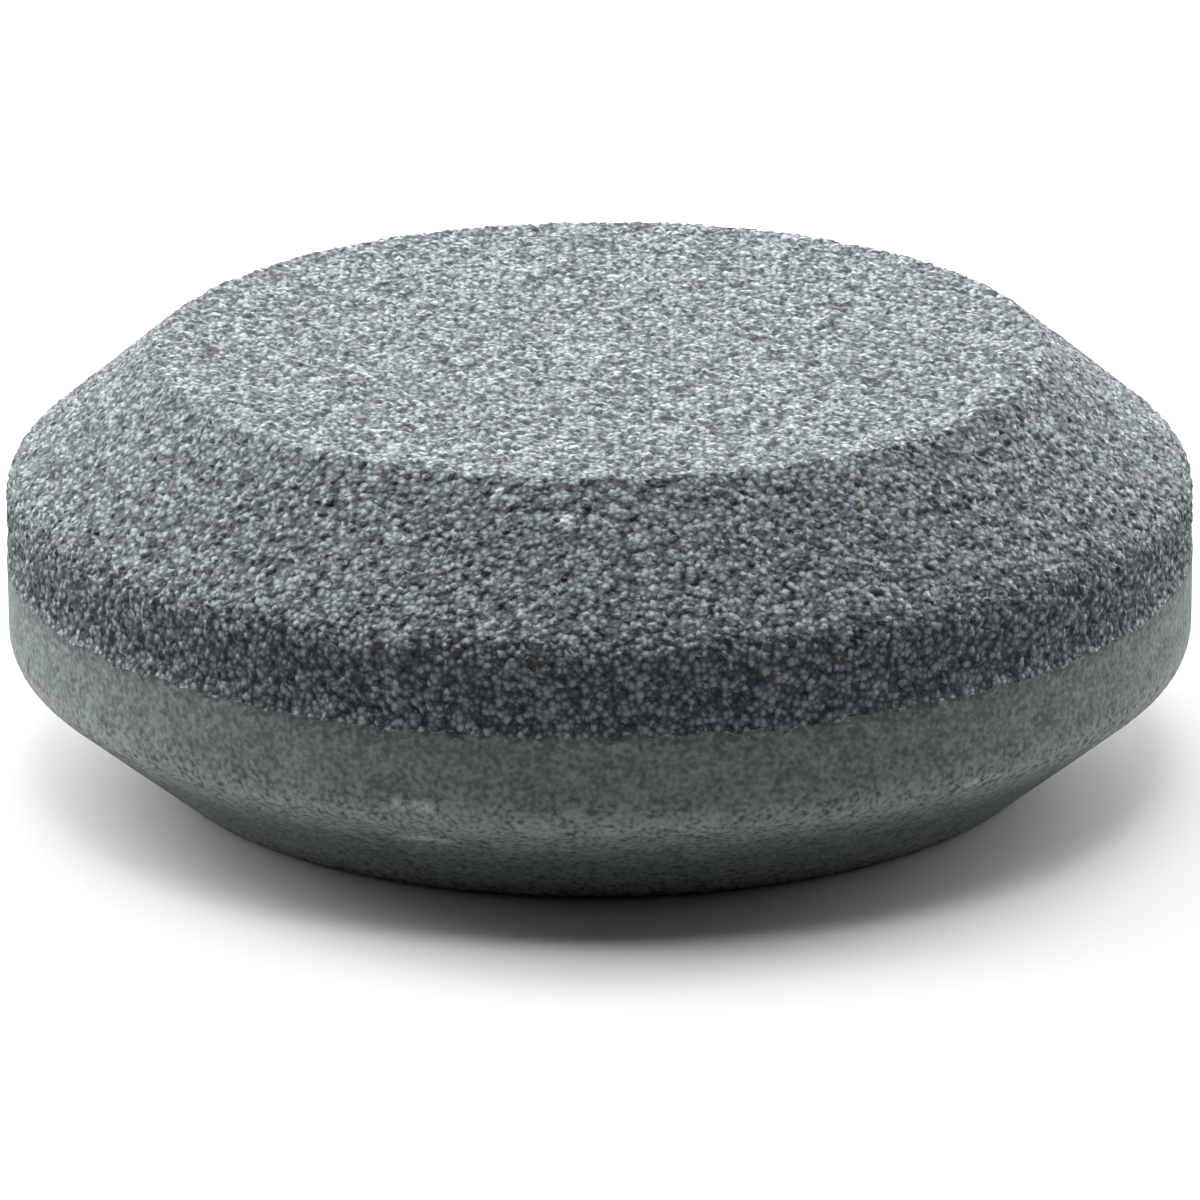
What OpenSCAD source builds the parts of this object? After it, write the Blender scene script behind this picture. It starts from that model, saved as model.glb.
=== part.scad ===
// Two-layer sharpening puck: a round bench and axe stone that is held in the
// palm. A coarse layer and a fine layer are pressed and fired face to face, so
// the stone has a coarse grit on one side and a fine grit on the other.
// The stone lies on its fine face: Z is its axis, and Z = 0 is that face.

/* [Stone] */
// Diameter over the straight wall
stone_diameter = 76.2; // [60:0.2:120]
// Depth of the coarse layer, from the seam to the coarse face
coarse_depth = 13.5; // [12.5:0.1:30]
// Depth of the fine layer, from the fine face to the seam
fine_depth = 13.9; // [12.5:0.1:30]

/* [Bevels] */
// How far each bevel comes in from the wall
bevel_width = 9.7; // [3:0.1:20]
// How deep each bevel is along the axis
bevel_depth = 8; // [3:0.1:10]

/* [Rounded edges] */
// Radius that softens the edge between the wall and a bevel
wall_round = 2.6; // [0.4:0.1:3]
// Radius that softens the edge between a bevel and a grinding face
face_round = 0.6; // [0.2:0.1:1.5]

/* [Hidden] */
$fn = 180;

COARSE_COLOUR = "#55595b";
FINE_COLOUR = "#767d79";

// A rounding disc is this much too big, so that it crosses the straight lines
// on its two sides instead of only touching them
DISC_OVERLAP = 0.0005;

stone_r = stone_diameter / 2;
face_r = stone_r - bevel_width;

// Slope of a bevel against the grinding face, and the direction that it faces
bevel_angle = atan2(bevel_depth, bevel_width);
bevel_normal = 90 - bevel_angle;

// How far a rounding reaches along the straight lines on its two sides
wall_reach = wall_round * tan(bevel_normal / 2);
face_reach = face_round * tan(bevel_angle / 2);

// What a rounded edge takes away: the corner beyond the chord between its two
// points of contact, except for the disc. The outline turns by `turn` there,
// and the corner points in the direction `facing`.
module corner_waste(centre, radius, turn, facing) {
    translate(centre)
        rotate(facing)
            difference() {
                translate([radius * cos(turn / 2), -radius])
                    square([radius, 2 * radius]);
                circle(radius + DISC_OVERLAP);
            }
}

// Half of one layer's section, with the seam on the X axis and the grinding
// face at the top
module layer_section(depth) {
    wall_top = depth - bevel_depth;

    difference() {
        polygon([
            [0, 0],
            [stone_r, 0],
            [stone_r, wall_top],
            [face_r, depth],
            [0, depth],
        ]);

        corner_waste(
            [stone_r - wall_round, wall_top - wall_reach],
            wall_round,
            bevel_normal,
            bevel_normal / 2
        );

        corner_waste(
            [face_r - face_reach, depth - face_round],
            face_round,
            bevel_angle,
            bevel_normal + bevel_angle / 2
        );
    }
}

// One layer of the stone, standing on its seam
module layer(depth) {
    rotate_extrude() layer_section(depth);
}

// Upper layer: coarse silicon carbide grit
module coarse_layer() {
    color(COARSE_COLOUR)
        translate([0, 0, fine_depth])
            layer(coarse_depth);
}

// Lower layer: fine silicon carbide grit, the same section turned over
module fine_layer() {
    color(FINE_COLOUR)
        translate([0, 0, fine_depth])
            mirror([0, 0, 1])
                layer(fine_depth);
}

coarse_layer();
fine_layer();
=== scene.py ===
"""Two-layer sharpening puck: the looks of its coarse and its fine layer.

The stone is turned as one blank, cut along its uneven seam into two layers, and each layer is
roughened and dressed as the grit that it is made of. Sizes are in metres, in the CAD frame.
"""

import logging
import math
import random
from dataclasses import dataclass
from enum import Enum

import bmesh
import bpy
from mathutils import Matrix, Vector, noise


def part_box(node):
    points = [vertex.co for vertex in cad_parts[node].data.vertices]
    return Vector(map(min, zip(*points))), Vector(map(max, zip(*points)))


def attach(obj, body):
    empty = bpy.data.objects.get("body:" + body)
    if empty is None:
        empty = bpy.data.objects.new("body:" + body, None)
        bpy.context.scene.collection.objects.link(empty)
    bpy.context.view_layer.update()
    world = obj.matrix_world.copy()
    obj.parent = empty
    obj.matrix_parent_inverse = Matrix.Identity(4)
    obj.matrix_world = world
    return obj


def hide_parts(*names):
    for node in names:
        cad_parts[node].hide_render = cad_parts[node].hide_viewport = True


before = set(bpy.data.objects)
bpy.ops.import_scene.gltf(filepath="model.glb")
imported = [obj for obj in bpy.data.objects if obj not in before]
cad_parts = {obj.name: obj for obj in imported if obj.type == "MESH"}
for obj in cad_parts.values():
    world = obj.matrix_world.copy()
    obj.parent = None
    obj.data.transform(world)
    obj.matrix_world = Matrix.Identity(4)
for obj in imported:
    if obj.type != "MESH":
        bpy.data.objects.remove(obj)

MM = 0.001
# Vertices that are nearer than this stand on one spot.
TOUCH = 0.01 * MM
LOG = logging.getLogger("sharpening_puck")

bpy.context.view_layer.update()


def linear(hex_colour: str) -> tuple[float, float, float, float]:
    """Turns an sRGB colour into the linear one that the shaders take.

    Args:
        hex_colour: Six hexadecimal digits after a hash sign.

    Returns:
        Linear red, green and blue, and an alpha of 1.
    """
    parts = [int(hex_colour[i : i + 2], 16) / 255 for i in (1, 3, 5)]
    curve = [p / 12.92 if p <= 0.04045 else ((p + 0.055) / 1.055) ** 2.4 for p in parts]
    return (*curve, 1.0)


def add_node(
    tree: bpy.types.NodeTree,
    kind: str,
    inputs: dict[str | int, object] | None = None,
    **settings: object,
) -> bpy.types.Node:
    """Adds a node, sets its properties and fills its inputs.

    Args:
        tree: The node tree that gets the node.
        kind: Blender's name for the type of node.
        inputs: Socket name or number to the socket that feeds it, or to its value.
        settings: The node's own properties.

    Returns:
        The new node.
    """
    node = tree.nodes.new(kind)
    for name, value in settings.items():
        setattr(node, name, value)
    for key, value in (inputs or {}).items():
        if isinstance(value, bpy.types.NodeSocket):
            tree.links.new(value, node.inputs[key])
        else:
            node.inputs[key].default_value = value
    return node


class Side(Enum):
    """Which side of the seam a layer lies on."""

    ABOVE = 1
    BELOW = -1


@dataclass(frozen=True)
class Seam:
    """The line where the two grits meet on the wall, and the hidden face behind it.

    The powders are levelled by hand before they are pressed, so the seam rolls a little, and
    single coarse grains break its line.
    """

    height: float
    roll: float = 0.16 * MM
    roll_length: float = 11 * MM
    lean: float = 0.004
    grain_reach: float = 0.35 * MM
    grain_length: float = 0.8 * MM
    grain_slice: float = 10 * MM

    def rise(self, x: float, y: float) -> float:
        """Gives how far the seam stands above its mean height.

        Args:
            x: Place across the stone.
            y: Place along the stone.

        Returns:
            The rise in metres.
        """
        slow = noise.noise(Vector((x, y, 0)) / self.roll_length)
        ragged = noise.noise(Vector((x, y, self.grain_slice)) / self.grain_length)
        return self.roll * slow + self.lean * x + self.grain_reach * ragged


@dataclass(frozen=True)
class StoneBlank:
    """The whole stone before its seam and its grain: a turned disc with two wide bevels."""

    radius: float
    depth: float
    bevel_width: float = 9.7 * MM
    bevel_depth: float = 8.0 * MM
    wall_round: float = 2.6 * MM
    face_round: float = 0.6 * MM
    steps: int = 192
    facet: float = 0.31 * MM
    round_segments: int = 6

    @property
    def face_radius(self) -> float:
        """Radius at which a bevel meets its grinding face."""
        return self.radius - self.bevel_width

    @property
    def bevel_angle(self) -> float:
        """Slope of a bevel against the grinding face."""
        return math.atan2(self.bevel_depth, self.bevel_width)

    def turned(self) -> bmesh.types.BMesh:
        """Turns the section about the axis and rounds its four ring edges.

        Returns:
            A closed mesh of the blank.
        """
        section = [
            (0.0, 0.0),
            (self.face_radius, 0.0),
            (self.radius, self.bevel_depth),
            (self.radius, self.depth - self.bevel_depth),
            (self.face_radius, self.depth),
            (0.0, self.depth),
        ]
        bm = bmesh.new()
        points = [bm.verts.new((r, 0.0, z)) for r, z in section]
        edges = [bm.edges.new(pair) for pair in zip(points, points[1:])]
        bmesh.ops.spin(
            bm,
            geom=points + edges,
            cent=(0, 0, 0),
            axis=(0, 0, 1),
            angle=math.tau,
            steps=self.steps,
            use_merge=True,
        )
        bmesh.ops.remove_doubles(bm, verts=bm.verts, dist=TOUCH)
        bmesh.ops.recalc_face_normals(bm, faces=bm.faces)
        wall_turn = math.pi / 2 - self.bevel_angle
        self._round_rings(bm, self.radius, self.wall_round, wall_turn)
        self._round_rings(bm, self.face_radius, self.face_round, self.bevel_angle)
        return bm

    def _round_rings(
        self, bm: bmesh.types.BMesh, ring_radius: float, rounding: float, turn: float
    ) -> None:
        """Rounds the two ring edges of one radius.

        Args:
            bm: The turned blank.
            ring_radius: Radius of the rings to round.
            rounding: Radius of the rounded edge.
            turn: How far the section turns at the edge.
        """
        rings = [
            e
            for e in bm.edges
            if all(abs(v.co.to_2d().length - ring_radius) < TOUCH for v in e.verts)
            and abs(e.verts[0].co.z - e.verts[1].co.z) < TOUCH
        ]
        bmesh.ops.bevel(
            bm,
            geom=rings,
            offset=rounding * math.tan(turn / 2),
            offset_type="OFFSET",
            segments=self.round_segments,
            profile=0.5,
            affect="EDGES",
            material=-1,
        )

    def faceted(self) -> bmesh.types.BMesh:
        """Gives the blank small facets of one size all over, as fine as a coarse grain.

        Returns:
            The mesh that both layers are cut from.
        """
        turned = self.turned()
        mesh = bpy.data.meshes.new("blank")
        turned.to_mesh(mesh)
        turned.free()
        blank = bpy.data.objects.new("blank", mesh)
        bpy.context.scene.collection.objects.link(blank)
        remesh = blank.modifiers.new("even_facets", "REMESH")
        remesh.mode = "VOXEL"
        remesh.voxel_size = self.facet * 1
        shaped = blank.evaluated_get(bpy.context.evaluated_depsgraph_get())
        bm = bmesh.new()
        bm.from_mesh(shaped.to_mesh())
        # Facets that come out as slivers are merged away.
        bmesh.ops.remove_doubles(bm, verts=bm.verts, dist=self.facet / 3)
        bpy.data.objects.remove(blank)
        bpy.data.meshes.remove(mesh)
        return bm


@dataclass(frozen=True)
class Mark:
    """A small pale place on a layer: a lodged white grain, or a scuff along an edge.

    Azimuth goes round the stone in degrees, from its front towards its left.
    """

    azimuth: float
    height: float
    length: float
    width: float
    strength: float = 1.0
    firmness: float = 3.0

    def cover(self, place: Vector) -> float:
        """Gives how strongly the mark covers a place.

        Args:
            place: A point on the surface.

        Returns:
            The mark's strength over its middle, falling to 0 at its outline.
        """
        r = place.to_2d().length
        turn = math.atan2(-place.x, -place.y) - math.radians(self.azimuth)
        along = r * turn / (self.length / 2)
        across = (place.z - self.height) / (self.width / 2)
        inside = self.firmness * (1 - math.hypot(along, across))
        return self.strength * min(1.0, max(0.0, inside))


@dataclass(frozen=True)
class CoarseGrit:
    """Coarse silicon carbide in a vitrified bond: pressed, fired and left unground.

    Dark glassy crystals stand out of a duller bond with open pores between them, so the eye
    sees a salt-and-pepper sparkle. The grit itself is about 0.12 mm across; it is drawn in
    clumps three times that size, because single grains are too fine to show. Light and shade
    are painted into the colour too: each clump is lighter in its middle and darker towards
    its edge, as painted shade in the gaps between grains.
    """

    name: str = "vitrified_silicon_carbide_coarse"
    slot: str = "coarse_grit"
    clump: float = 0.4 * MM
    # The darkest colour, which falls in the gaps between clumps: painted shade in the open
    # pores.
    pore_shade: str = "#22272a"
    grain: str = "#5b6367"
    # The palest colour, reached only on the middles of bright clumps: the crystals' own pale
    # tone with a painted glint on them.
    crystal_and_glint: str = "#adb7ba"
    rust: str = "#5a5249"
    white: str = "#e6eceb"
    tint: str = "#f5ffff"
    # These two draw each clump lighter in its middle and darker towards its edge: painted
    # light on the grains and painted shade in the gaps between them.
    painted_gap_shade: float = 0.75
    painted_shading_offset: float = 0.62
    grain_spread: float = 0.55
    pore_shade_level: float = 0.13
    grain_level: float = 0.5
    crystal_and_glint_level: float = 0.92
    rust_above: float = 0.992
    glossiest: float = 0.45
    dullest: float = 0.75
    dome: float = 0.16 * MM
    ior: float = 1.6

    def material(self) -> bpy.types.Material:
        """Builds the material.

        Returns:
            A material that reads Object coordinates and the mark attribute.
        """
        made = bpy.data.materials.new(self.name)
        made.use_nodes = True
        tree = made.node_tree
        tree.nodes.clear()
        place = add_node(tree, "ShaderNodeTexCoord").outputs["Object"]
        clumps = add_node(
            tree,
            "ShaderNodeTexVoronoi",
            {"Vector": place, "Scale": 1 / self.clump},
            voronoi_dimensions="3D",
        )
        draw = add_node(
            tree, "ShaderNodeSeparateColor", {"Color": clumps.outputs["Color"]}
        )
        # Painted shading: darker with distance from the clump's middle, so the gaps between
        # grains look shaded.
        painted_shading = add_node(
            tree,
            "ShaderNodeMath",
            {0: clumps.outputs["Distance"], 1: -self.painted_gap_shade, 2: self.painted_shading_offset},
            operation="MULTIPLY_ADD",
        )
        level = add_node(
            tree,
            "ShaderNodeMath",
            {0: draw.outputs["Red"], 1: self.grain_spread, 2: painted_shading.outputs[0]},
            operation="MULTIPLY_ADD",
        )
        shade = add_node(tree, "ShaderNodeValToRGB", {"Fac": level.outputs[0]})
        ramp = shade.color_ramp
        # The ramp's dark end is painted shade in the pores.
        ramp.elements[0].position = self.pore_shade_level
        ramp.elements[0].color = linear(self.pore_shade)
        # The ramp's pale end is the crystals' pale tone with a painted glint.
        ramp.elements[1].position = self.crystal_and_glint_level
        ramp.elements[1].color = linear(self.crystal_and_glint)
        ramp.elements.new(self.grain_level).color = linear(self.grain)
        rusty = add_node(
            tree,
            "ShaderNodeMath",
            {0: draw.outputs["Green"], 1: self.rust_above},
            operation="GREATER_THAN",
        )
        stained = add_node(
            tree,
            "ShaderNodeMix",
            {
                "Factor": rusty.outputs[0],
                "A": shade.outputs["Color"],
                "B": linear(self.rust),
            },
            data_type="RGBA",
        )
        lodged = add_node(tree, "ShaderNodeAttribute", attribute_name="mark")
        colour = add_node(
            tree,
            "ShaderNodeMix",
            {
                "Factor": lodged.outputs["Fac"],
                "A": stained.outputs["Result"],
                "B": linear(self.white),
            },
            data_type="RGBA",
        )
        gloss = add_node(
            tree,
            "ShaderNodeMapRange",
            {
                "Value": draw.outputs["Blue"],
                "To Min": self.glossiest,
                "To Max": self.dullest,
            },
        )
        domes = add_node(
            tree,
            "ShaderNodeBump",
            {
                "Height": clumps.outputs["Distance"],
                "Strength": 1.0,
                "Distance": self.dome,
            },
            invert=True,
        )
        shader = add_node(
            tree,
            "ShaderNodeBsdfPrincipled",
            {
                "Base Color": colour.outputs["Result"],
                "Roughness": gloss.outputs["Result"],
                "IOR": self.ior,
                "Specular Tint": linear(self.tint),
                "Normal": domes.outputs["Normal"],
            },
        )
        add_node(
            tree, "ShaderNodeOutputMaterial", {"Surface": shader.outputs["BSDF"]}
        )
        return made


@dataclass(frozen=True)
class FineGrit:
    """Fine silicon carbide in a vitrified bond, rubbed smooth in the mould.

    Its grit is too fine to see, so the eye gets an even, dull, greenish grey with a faint
    cloudiness and small pinholes. Near the ring edges it turns paler: rubbing at the edges
    themselves, and painted light further down the bevels, where the pale band reaches much
    further. A few coarse grains sit just under the seam.
    """

    name: str = "vitrified_silicon_carbide_fine"
    slot: str = "fine_grit"
    cloud: float = 1.3 * MM
    speck: float = 0.36 * MM
    body: str = "#9ca7a3"
    shadow: str = "#646d6a"
    # Pale colour of the band along the ring edges: rubbing at the edges, and painted light on
    # the bevels.
    rubbed_and_lit: str = "#c6cecb"
    chalk: str = "#dfe4e1"
    stray: str = "#59615f"
    cloudiness: float = 0.5
    darkest: float = 0.52
    lightest: float = 0.98
    stray_from: float = 1.1
    stray_full: float = 1.9
    grain: float = 0.03 * MM
    roughness: float = 0.7
    ior: float = 1.5

    def material(self) -> bpy.types.Material:
        """Builds the material.

        Returns:
            A material that reads Object coordinates and three attributes of the layer:
            edge_wear_and_light, mark and mixing.
        """
        made = bpy.data.materials.new(self.name)
        made.use_nodes = True
        tree = made.node_tree
        tree.nodes.clear()
        place = add_node(tree, "ShaderNodeTexCoord").outputs["Object"]
        clouds = add_node(
            tree,
            "ShaderNodeTexNoise",
            {"Vector": place, "Scale": 1 / self.cloud, "Detail": 3.0},
        )
        specks = add_node(
            tree,
            "ShaderNodeTexNoise",
            {"Vector": place, "Scale": 1 / self.speck, "Detail": 1.0},
        )
        blend = add_node(
            tree,
            "ShaderNodeMath",
            {0: clouds.outputs["Fac"], 1: self.cloudiness, 2: specks.outputs["Fac"]},
            operation="MULTIPLY_ADD",
        )
        level = add_node(
            tree,
            "ShaderNodeMapRange",
            {
                "Value": blend.outputs[0],
                "From Min": self.darkest,
                "From Max": self.lightest,
            },
        )
        body = add_node(
            tree,
            "ShaderNodeMix",
            {
                "Factor": level.outputs["Result"],
                "A": linear(self.shadow),
                "B": linear(self.body),
            },
            data_type="RGBA",
        )
        # The pale band along the ring edges: rubbing at the edges, and painted light further
        # down the bevels, which face the shaded floor.
        worn_and_lit = add_node(tree, "ShaderNodeAttribute", attribute_name="edge_wear_and_light")
        patchy = add_node(
            tree,
            "ShaderNodeMath",
            {0: worn_and_lit.outputs["Fac"], 1: level.outputs["Result"]},
            operation="MULTIPLY",
        )
        edged = add_node(
            tree,
            "ShaderNodeMix",
            {
                "Factor": patchy.outputs[0],
                "A": body.outputs["Result"],
                "B": linear(self.rubbed_and_lit),
            },
            data_type="RGBA",
        )
        scuffed = add_node(tree, "ShaderNodeAttribute", attribute_name="mark")
        dusty = add_node(
            tree,
            "ShaderNodeMath",
            {0: scuffed.outputs["Fac"], 1: level.outputs["Result"]},
            operation="MULTIPLY",
        )
        marked = add_node(
            tree,
            "ShaderNodeMix",
            {
                "Factor": dusty.outputs[0],
                "A": edged.outputs["Result"],
                "B": linear(self.chalk),
            },
            data_type="RGBA",
        )
        stray = self._stray_grains(tree, place)
        colour = add_node(
            tree,
            "ShaderNodeMix",
            {
                "Factor": stray,
                "A": marked.outputs["Result"],
                "B": linear(self.stray),
            },
            data_type="RGBA",
        )
        grain = add_node(
            tree,
            "ShaderNodeBump",
            {
                "Height": specks.outputs["Fac"],
                "Strength": 1.0,
                "Distance": self.grain,
            },
        )
        shader = add_node(
            tree,
            "ShaderNodeBsdfPrincipled",
            {
                "Base Color": colour.outputs["Result"],
                "Roughness": self.roughness,
                "IOR": self.ior,
                "Normal": grain.outputs["Normal"],
            },
        )
        add_node(
            tree, "ShaderNodeOutputMaterial", {"Surface": shader.outputs["BSDF"]}
        )
        return made

    def _stray_grains(
        self, tree: bpy.types.NodeTree, place: bpy.types.NodeSocket
    ) -> bpy.types.NodeSocket:
        """Picks the coarse grains that were pressed into the fine layer under the seam.

        Args:
            tree: The material's node tree.
            place: Object coordinates.

        Returns:
            How much of each place is a stray coarse grain.
        """
        grains = add_node(
            tree,
            "ShaderNodeTexVoronoi",
            {"Vector": place, "Scale": 1 / self.speck},
            voronoi_dimensions="3D",
        )
        draw = add_node(
            tree, "ShaderNodeSeparateColor", {"Color": grains.outputs["Color"]}
        )
        near = add_node(tree, "ShaderNodeAttribute", attribute_name="mixing")
        chance = add_node(
            tree,
            "ShaderNodeMath",
            {0: draw.outputs["Red"], 1: near.outputs["Fac"]},
            operation="ADD",
        )
        picked = add_node(
            tree,
            "ShaderNodeMapRange",
            {
                "Value": chance.outputs[0],
                "From Min": self.stray_from,
                "From Max": self.stray_full,
            },
        )
        return picked.outputs["Result"]


@dataclass
class GritLayer:
    """One layer of the stone, cut from the blank along the seam."""

    name: str
    node: str
    side: Side
    blank: StoneBlank
    seam: Seam
    finish: CoarseGrit | FineGrit
    relief: float
    undulation: float
    jitter: float
    marks: tuple[Mark, ...]
    seed: int
    body: str = "root"
    wear_reach: float = 1.9 * MM
    # On a bevel the pale band reaches much further: painted light that brightens the
    # downward-facing lower bevel.
    bevel_wear_and_light_reach: float = 5.5 * MM
    seam_fade: float = 0.7 * MM
    mixing_reach: float = 2.2 * MM
    undulation_length: float = 5 * MM
    island: float = 0.07
    island_gap: float = 0.01
    disc: float = 0.495

    def build(self) -> bpy.types.Object:
        """Cuts the layer, roughens it, unwraps it and dresses it.

        Returns:
            The finished piece.
        """
        bm = self.blank.faceted()
        self._cut(bm)
        self._roughen(bm)
        mesh = bpy.data.meshes.new(self.name)
        bm.to_mesh(mesh)
        bm.free()
        piece = bpy.data.objects.new(self.name, mesh)
        bpy.context.scene.collection.objects.link(piece)
        mesh.materials.append(self.finish.material())
        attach(piece, self.body)
        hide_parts(self.node)
        return piece

    def _cut(self, bm: bmesh.types.BMesh) -> None:
        """Keeps one side of the seam and closes the cut, whose rim stays a sharp edge.

        Args:
            bm: The faceted blank, which becomes the layer.
        """
        for v in bm.verts:
            v.co.z -= self.seam.rise(v.co.x, v.co.y)
        bmesh.ops.bisect_plane(
            bm,
            geom=bm.verts[:] + bm.edges[:] + bm.faces[:],
            plane_co=(0, 0, self.seam.height),
            plane_no=(0, 0, self.side.value),
            clear_inner=True,
        )
        rim = [e for e in bm.edges if e.is_boundary]
        cut = bmesh.ops.edgeloop_fill(bm, edges=rim)["faces"]
        self._unwrap(bm, cut)
        for v in bm.verts:
            v.co.z += self.seam.rise(v.co.x, v.co.y)
        bmesh.ops.triangulate(bm, faces=bm.faces[:])
        bmesh.ops.recalc_face_normals(bm, faces=bm.faces)
        for f in bm.faces:
            f.smooth = True
        for e in rim:
            e.smooth = False

    def _area_inside(self, place: Vector) -> float:
        """Gives the area of the outside between the grinding face's middle and a ring.

        Args:
            place: A point on the ring.

        Returns:
            The area in square metres.
        """
        blank = self.blank
        r = place.to_2d().length
        drop = blank.depth - place.z if self.side is Side.ABOVE else place.z
        face = min(r, blank.face_radius) ** 2
        bevel = max(0.0, r**2 - blank.face_radius**2) / math.cos(blank.bevel_angle)
        wall = 2 * blank.radius * max(0.0, drop - blank.bevel_depth)
        return math.pi * (face + bevel + wall)

    def _unwrap(self, bm: bmesh.types.BMesh, cut: list[bmesh.types.BMFace]) -> None:
        """Lays the outside out as one round map with equal areas.

        Args:
            bm: The cut layer, before it is roughened.
            cut: The hidden faces in the seam, which get a small round island of their own.
        """
        uv = bm.loops.layers.uv.new("OFBake")
        whole = max(self._area_inside(v.co) for v in bm.verts)
        hidden = set(cut)
        margin = self.island + self.island_gap
        turned = self.side.value
        for f in bm.faces:
            for loop in f.loops:
                flat = loop.vert.co.to_2d()
                if f in hidden:
                    spot = flat / self.blank.radius * self.island
                    loop[uv].uv = Vector((margin - turned * spot.x, margin + spot.y))
                    continue
                share = math.sqrt(self._area_inside(loop.vert.co) / whole)
                out = flat.normalized() * (self.disc * share)
                loop[uv].uv = Vector((0.5 + turned * out.x, 0.5 + out.y))

    def _edge_wear_and_light(self, place: Vector) -> float:
        """Gives how near a place is to one of the stone's rounded ring edges.

        Args:
            place: A point on the surface.

        Returns:
            1 on an edge, falling to 0 at the reach of the pale band, which is longer on a
            bevel, where the band is painted light as well as rubbing.
        """
        low = min(place.z, self.blank.depth - place.z)
        r = place.to_2d().length
        rings = (
            (self.blank.radius, self.blank.bevel_depth),
            (self.blank.face_radius, 0.0),
        )
        nearest = min(math.hypot(r - a, low - b) for a, b in rings)
        on_bevel = low < self.blank.bevel_depth
        reach = self.bevel_wear_and_light_reach if on_bevel else self.wear_reach
        return max(0.0, 1 - nearest / reach)

    def _roughen(self, bm: bmesh.types.BMesh) -> None:
        """Sinks each vertex by its own depth and shifts it sideways, so the grain stands out.

        Nothing is raised, so the layer stays inside the blank. The roughness fades out at the
        seam, so both layers keep one line there.

        Args:
            bm: The cut layer.
        """
        draw = random.Random(self.seed)
        # The pale edge band: rubbing at the edges, and painted light further down the bevels.
        wear_and_light = bm.verts.layers.float.new("edge_wear_and_light")
        mark = bm.verts.layers.float.new("mark")
        mixing = bm.verts.layers.float.new("mixing")
        bm.normal_update()
        moves = []
        for v in bm.verts:
            v[wear_and_light] = self._edge_wear_and_light(v.co)
            v[mark] = max(m.cover(v.co) for m in self.marks)
            sideways = Vector([draw.uniform(-1, 1) for _ in range(3)])
            sideways -= sideways.dot(v.normal) * v.normal
            slow = 0.5 + 0.5 * noise.noise(v.co / self.undulation_length)
            sunk = self.relief * draw.random() + self.undulation * slow
            moves.append(sideways * self.jitter - v.normal * sunk)
        for v, move in zip(bm.verts, moves):
            line = self.seam.height + self.seam.rise(v.co.x, v.co.y)
            away = abs(v.co.z - line)
            v[mixing] = max(0.0, 1 - away / self.mixing_reach)
            v.co += move * min(1.0, away / self.seam_fade)


@dataclass(frozen=True)
class Lamp:
    """A square soft lamp that faces the stone.

    Azimuth goes round the stone in degrees, from straight behind it towards the left, and
    elevation is in degrees above the floor.
    """

    name: str
    azimuth: float
    elevation: float
    watts: float
    size: float = 0.4
    distance: float = 0.55

    def hang(self, centre: Vector) -> None:
        """Makes the lamp.

        Args:
            centre: The stone's centre, which the lamp faces.
        """
        data = bpy.data.lights.new(self.name, "AREA")
        data.shape = "SQUARE"
        data.size = self.size
        data.energy = self.watts
        lamp = bpy.data.objects.new(self.name, data)
        bpy.context.scene.collection.objects.link(lamp)
        turn = math.radians(self.azimuth)
        lift = math.radians(self.elevation)
        level = math.cos(lift)
        away = Vector((-math.sin(turn) * level, math.cos(turn) * level, math.sin(lift)))
        lamp.location = centre + away * self.distance
        lamp.rotation_euler = away.to_track_quat("Z", "Y").to_euler()


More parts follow.
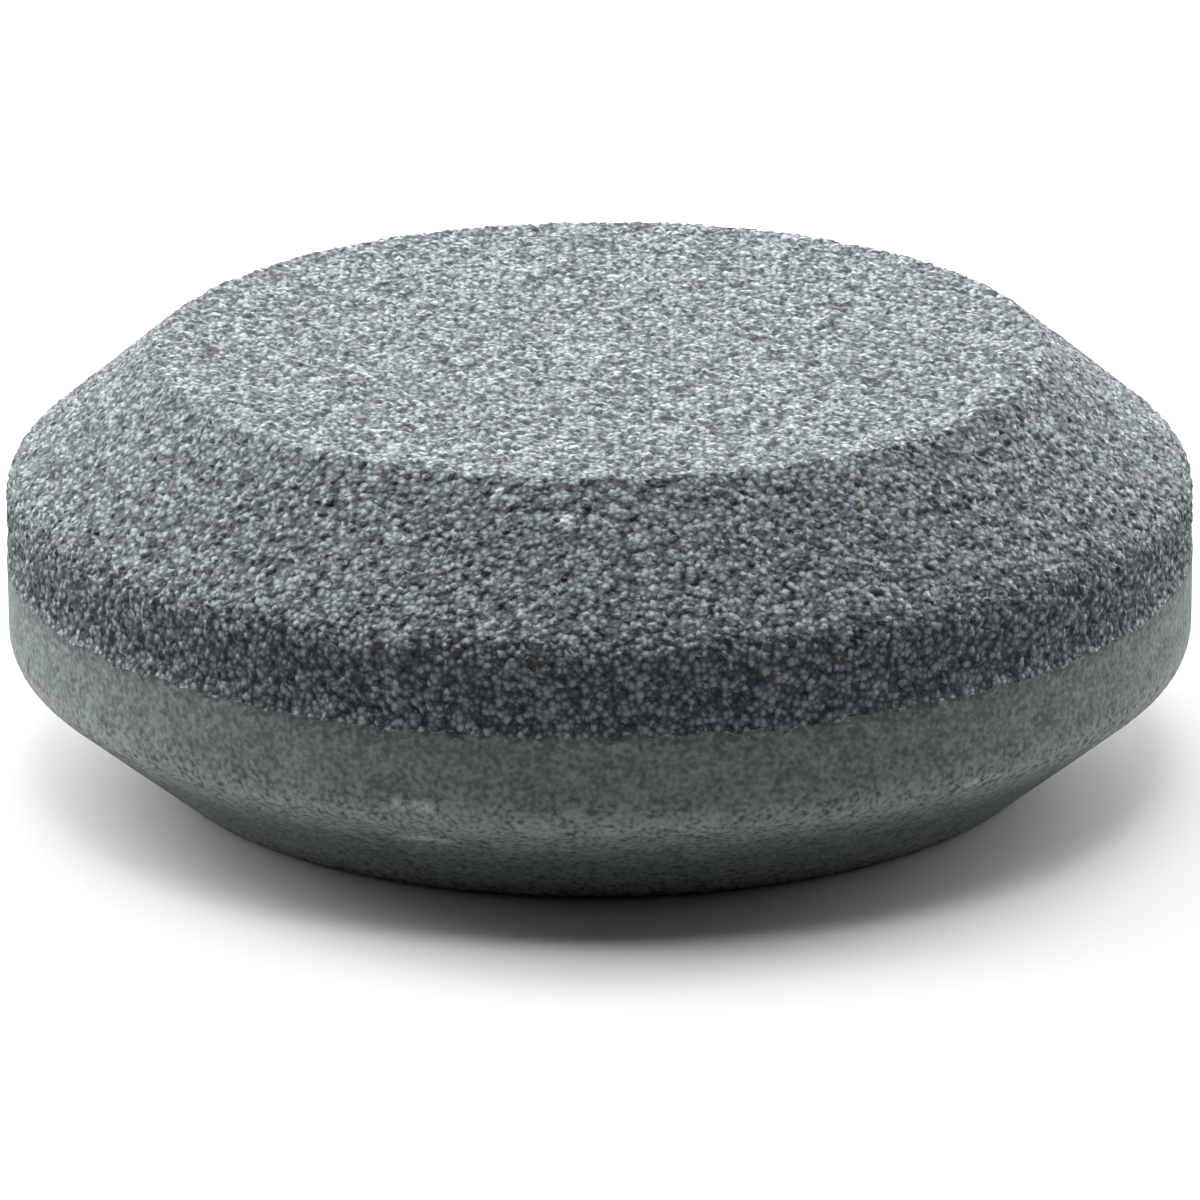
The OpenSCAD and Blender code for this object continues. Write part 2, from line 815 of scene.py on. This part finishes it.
@dataclass
class Studio:
    """A pale floor, soft lamps above, behind and beside the stone, and the camera."""

    centre: Vector
    distance: float = 0.576
    elevation: float = 18.05
    dip: float = 0.348
    roll: float = 0.26
    lens: float = 268.5
    sensor_width: float = 36
    floor_size: float = 3.0
    floor_white: float = 0.84
    floor_bounce: float = 0.36
    fade_start: float = 0.12
    fade_end: float = 0.3
    fill: float = 0.012
    lamps: tuple[Lamp, ...] = (
        Lamp("overhead", 0, 90, 2.2),
        Lamp("low_back", 0, 15, 2.7),
        Lamp("back_left", 45, 20, 1.3),
        Lamp("back_right", -45, 20, 1.6),
        Lamp("high_left", 70, 45, 1.9),
        Lamp("low_left", 70, 20, 1.1),
        Lamp("high_right", -45, 45, 0.9),
        Lamp("low_right", -70, 20, 0.8),
    )

    def build(self) -> None:
        """Makes the floor, the world, the lamps and the camera."""
        self._floor()
        self._world()
        for lamp in self.lamps:
            lamp.hang(self.centre)
        self._camera()

    def _floor(self) -> None:
        """Makes the floor: paper near the stone, and plain white to the camera further out.

        The light that it bounces back at the stone is that of a mid grey.
        """
        bm = bmesh.new()
        bmesh.ops.create_grid(
            bm, x_segments=1, y_segments=1, size=self.floor_size / 2
        )
        mesh = bpy.data.meshes.new("floor")
        bm.to_mesh(mesh)
        bm.free()
        floor = bpy.data.objects.new("floor", mesh)
        bpy.context.scene.collection.objects.link(floor)
        paper = bpy.data.materials.new("white_paper")
        paper.use_nodes = True
        tree = paper.node_tree
        tree.nodes.clear()
        path = add_node(tree, "ShaderNodeLightPath")
        colour = add_node(
            tree,
            "ShaderNodeMix",
            {
                "Factor": path.outputs["Is Camera Ray"],
                "A": (self.floor_bounce,) * 3 + (1.0,),
                "B": (self.floor_white,) * 3 + (1.0,),
            },
            data_type="RGBA",
        )
        matte = add_node(
            tree, "ShaderNodeBsdfDiffuse", {"Color": colour.outputs["Result"]}
        )
        glow = add_node(tree, "ShaderNodeEmission", {"Strength": 1.0})
        place = add_node(tree, "ShaderNodeTexCoord").outputs["Object"]
        away = add_node(
            tree, "ShaderNodeVectorMath", {0: place}, operation="LENGTH"
        )
        far = add_node(
            tree,
            "ShaderNodeMapRange",
            {
                "Value": away.outputs["Value"],
                "From Min": self.fade_start,
                "From Max": self.fade_end,
            },
        )
        seen = add_node(
            tree,
            "ShaderNodeMath",
            {0: far.outputs["Result"], 1: path.outputs["Is Camera Ray"]},
            operation="MULTIPLY",
        )
        shader = add_node(
            tree,
            "ShaderNodeMixShader",
            {0: seen.outputs[0], 1: matte.outputs["BSDF"], 2: glow.outputs["Emission"]},
        )
        add_node(
            tree, "ShaderNodeOutputMaterial", {"Surface": shader.outputs["Shader"]}
        )
        mesh.materials.append(paper)

    def _world(self) -> None:
        """Makes the surroundings: white to the camera, and a dim fill for the stone."""
        world = bpy.data.worlds.new("studio")
        bpy.context.scene.world = world
        world.use_nodes = True
        tree = world.node_tree
        tree.nodes.clear()
        path = add_node(tree, "ShaderNodeLightPath")
        strength = add_node(
            tree,
            "ShaderNodeMix",
            {"Factor": path.outputs["Is Camera Ray"], "A": self.fill, "B": 1.0},
            data_type="FLOAT",
        )
        back = add_node(
            tree,
            "ShaderNodeBackground",
            {"Color": (1.0, 1.0, 1.0, 1.0), "Strength": strength.outputs["Result"]},
        )
        add_node(
            tree, "ShaderNodeOutputWorld", {"Surface": back.outputs["Background"]}
        )

    def _camera(self) -> None:
        """Sets the camera in front of the stone, looking down on it."""
        data = bpy.data.cameras.new("camera")
        data.lens = self.lens
        data.sensor_width = self.sensor_width
        camera = bpy.data.objects.new("camera", data)
        bpy.context.scene.collection.objects.link(camera)
        lift = math.radians(self.elevation)
        back = Vector((0, -math.cos(lift), math.sin(lift)))
        camera.location = self.centre + back * self.distance
        tilt = Matrix.Rotation(math.radians(90 - self.elevation - self.dip), 4, "X")
        roll = Matrix.Rotation(math.radians(-self.roll), 4, "Z")
        camera.rotation_euler = (tilt @ roll).to_euler()
        bpy.context.scene.camera = camera


def main() -> None:
    """Builds both layers and the studio, and reports each piece."""
    logging.basicConfig(level=logging.INFO)
    bpy.context.scene.view_settings.view_transform = "Standard"

    foot, top = Vector(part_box("fine_layer")[0]), Vector(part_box("coarse_layer")[1])
    seam = Seam(height=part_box("fine_layer")[1][2])
    blank = StoneBlank(radius=top.x, depth=top.z - foot.z)
    layers = [
        GritLayer(
            name="coarse_stone",
            node="coarse_layer",
            side=Side.ABOVE,
            blank=blank,
            seam=seam,
            finish=CoarseGrit(),
            relief=0.32 * MM,
            undulation=0.05 * MM,
            jitter=0.1 * MM,
            marks=(
                Mark(azimuth=3.7, height=25.4 * MM, length=1.2 * MM, width=0.6 * MM),
                Mark(azimuth=12.2, height=26.6 * MM, length=0.6 * MM, width=0.5 * MM),
                Mark(azimuth=-62, height=22.1 * MM, length=0.7 * MM, width=0.5 * MM),
                Mark(azimuth=141, height=24.0 * MM, length=0.9 * MM, width=0.6 * MM),
            ),
            seed=11,
        ),
        GritLayer(
            name="fine_stone",
            node="fine_layer",
            side=Side.BELOW,
            blank=blank,
            seam=seam,
            finish=FineGrit(),
            relief=0.012 * MM,
            undulation=0.04 * MM,
            jitter=0.05 * MM,
            marks=(
                Mark(azimuth=17.6, height=8.9 * MM, length=4.2 * MM, width=0.9 * MM),
                Mark(azimuth=17, height=6.0 * MM, length=5.0 * MM, width=0.7 * MM),
                Mark(azimuth=-38, height=8.1 * MM, length=4.5 * MM, width=0.6 * MM),
                Mark(azimuth=168, height=8.3 * MM, length=5.0 * MM, width=0.7 * MM),
            ),
            seed=12,
        ),
    ]
    for layer in layers:
        piece = layer.build()
        LOG.info("%s: %d faces", piece.name, len(piece.data.polygons))
    Studio(centre=Vector((0, 0, (foot.z + top.z) / 2))).build()


if __name__ == "__main__":
    main()
